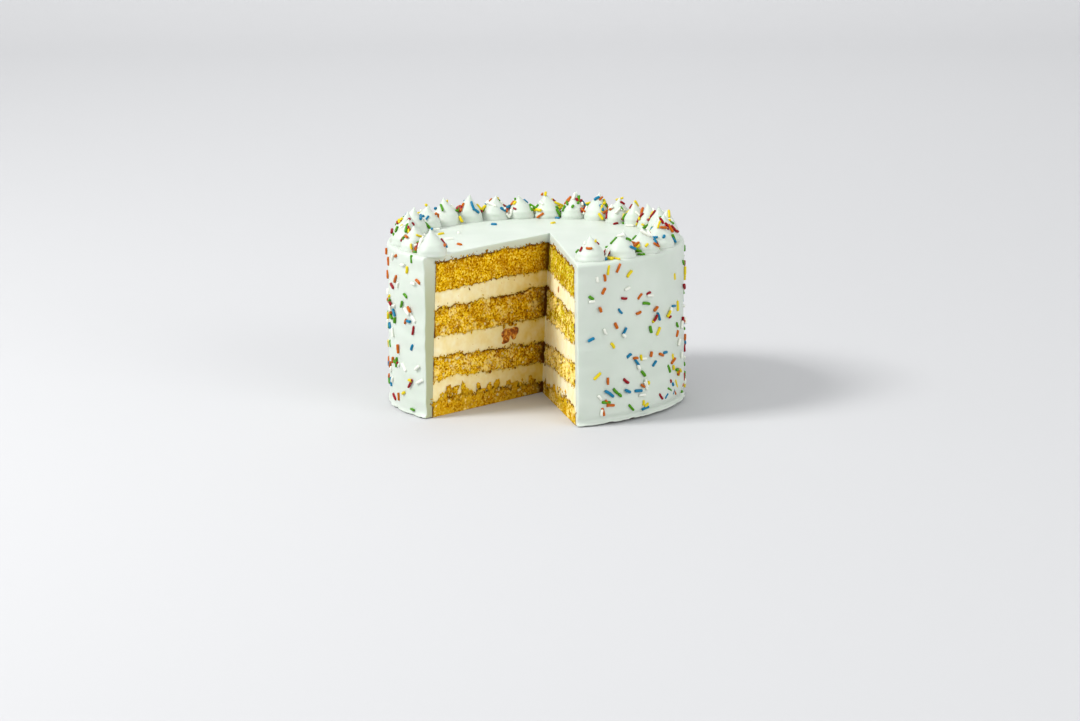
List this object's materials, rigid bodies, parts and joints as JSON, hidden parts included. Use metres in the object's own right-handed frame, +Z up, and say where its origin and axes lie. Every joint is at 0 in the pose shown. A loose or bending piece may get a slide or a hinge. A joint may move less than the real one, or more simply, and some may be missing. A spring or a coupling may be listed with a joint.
{
  "type": "layer cake",
  "caption": "Round iced layer cake with a wedge cut out: golden sponges and cream fillings under pale icing, with piped dollops and sugar strands.",
  "frame": {"origin": "middle of the cake's bounding box at its foot, on the surface that the cake stands on", "axes": "+Z up, -Y out of the cut-out wedge towards the viewer, +X to the viewer's right"},
  "size_m": [0.1704, 0.1661, 0.1072],
  "materials": {
    "sponge": "matte open crumb",
    "cream": "soft satin cream",
    "caramel": "glossy, slightly translucent",
    "icing": "smooth satin icing"
  },
  "bodies": {
    "root": {"sponge_1": "sponge", "filling_1": "cream", "sponge_2": "sponge", "filling_2": "cream", "sponge_3": "sponge", "filling_3": "cream", "sponge_4": "sponge", "caramel_left": "caramel", "caramel_right": "caramel", "icing": "icing", "dollop_01": "icing", "dollop_02": "icing", "dollop_03": "icing", "dollop_04": "icing", "dollop_05": "icing", "dollop_06": "icing", "dollop_07": "icing", "dollop_08": "icing", "dollop_09": "icing", "dollop_10": "icing", "dollop_11": "icing", "dollop_12": "icing", "dollop_13": "icing", "dollop_14": "icing", "dollop_15": "icing", "dollop_16": "icing", "dollop_17": "icing", "dollop_18": "icing", "dollop_19": "icing", "dollop_20": "icing", "dollop_21": "icing", "dollop_22": "icing", "dollop_23": "icing"}
  },
  "joints": []
}
